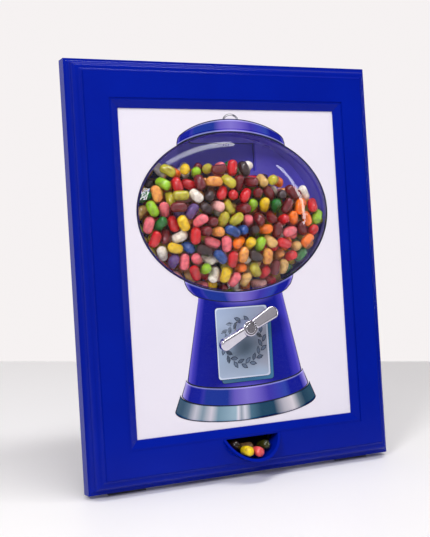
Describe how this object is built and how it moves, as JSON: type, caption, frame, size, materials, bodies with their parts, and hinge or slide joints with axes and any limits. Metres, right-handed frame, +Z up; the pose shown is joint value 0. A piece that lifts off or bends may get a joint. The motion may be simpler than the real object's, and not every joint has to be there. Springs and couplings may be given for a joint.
{
  "type": "picture frame candy dispenser",
  "caption": "Leaning picture frame with a bean-filled globe window, a winged knob that turns a metering wheel, a half-round cup, a refill flap and a folding stand.",
  "frame": {"origin": "middle of the overall footprint, on the table", "axes": "+Z up, -Y out of the picture towards the viewer, X across the frame; the frame leans back towards +Y"},
  "size_m": [0.318, 0.1442, 0.3899],
  "materials": {
    "frame_blue": "high gloss royal blue",
    "panel_white": "gloss white with a faint lavender tint",
    "label_print": "gloss printed blue",
    "window_clear": "clear polished",
    "hopper_blue": "satin blue",
    "mechanism_white": "natural moulded",
    "chute_dark": "dark moulded",
    "steel": "bright zinc",
    "bush_brass": "turned",
    "knob_chrome": "bright plated",
    "cover_blue": "satin blue",
    "foot_rubber": "matte dark grey",
    "bean_candy": "glazed sugar shells in mixed colours"
  },
  "bodies": {
    "machine": {"front_frame": "frame_blue", "picture_panel": "panel_white", "machine_label": "label_print", "globe_window": "window_clear", "hopper": "hopper_blue", "drum_cover": "mechanism_white", "shaft_bush": "bush_brass", "chute": "chute_dark", "dispensing_cup": "frame_blue", "rear_cover": "cover_blue", "door_pin": "steel", "stand_bracket": "cover_blue", "stand_pin": "steel", "front_feet": "foot_rubber", "rear_cover_screws": "steel", "hopper_screws": "steel", "bracket_screws": "steel", "chute_screws": "steel", "jelly_beans": "bean_candy", "cup_beans": "bean_candy"},
    "knob_drive": {"knob": "knob_chrome", "knob_cap": "knob_chrome", "knob_screw": "steel", "drive_shaft": "steel", "drive_pin": "steel", "metering_wheel": "mechanism_white"},
    "refill_flap": {"fill_door": "cover_blue"},
    "folding_leg": {"stand_leg": "cover_blue", "stand_foot": "foot_rubber"}
  },
  "joints": [
    {"name": "knob_turn", "type": "hinge", "parent": "machine", "child": "knob_drive", "pos_m": [0, -0.03469, 0.14103], "axis": [0, -0.9903, 0.1392], "continuous": true},
    {"name": "flap_swing", "type": "hinge", "parent": "machine", "child": "refill_flap", "pos_m": [0, 0.02729, 0.28026], "axis": [-1, 0, 0], "range_deg": [0, 110]},
    {"name": "stand_fold", "type": "hinge", "parent": "machine", "child": "folding_leg", "pos_m": [0, 0.02711, 0.24595], "axis": [-1, 0, 0], "range_deg": [0, 17]}
  ]
}
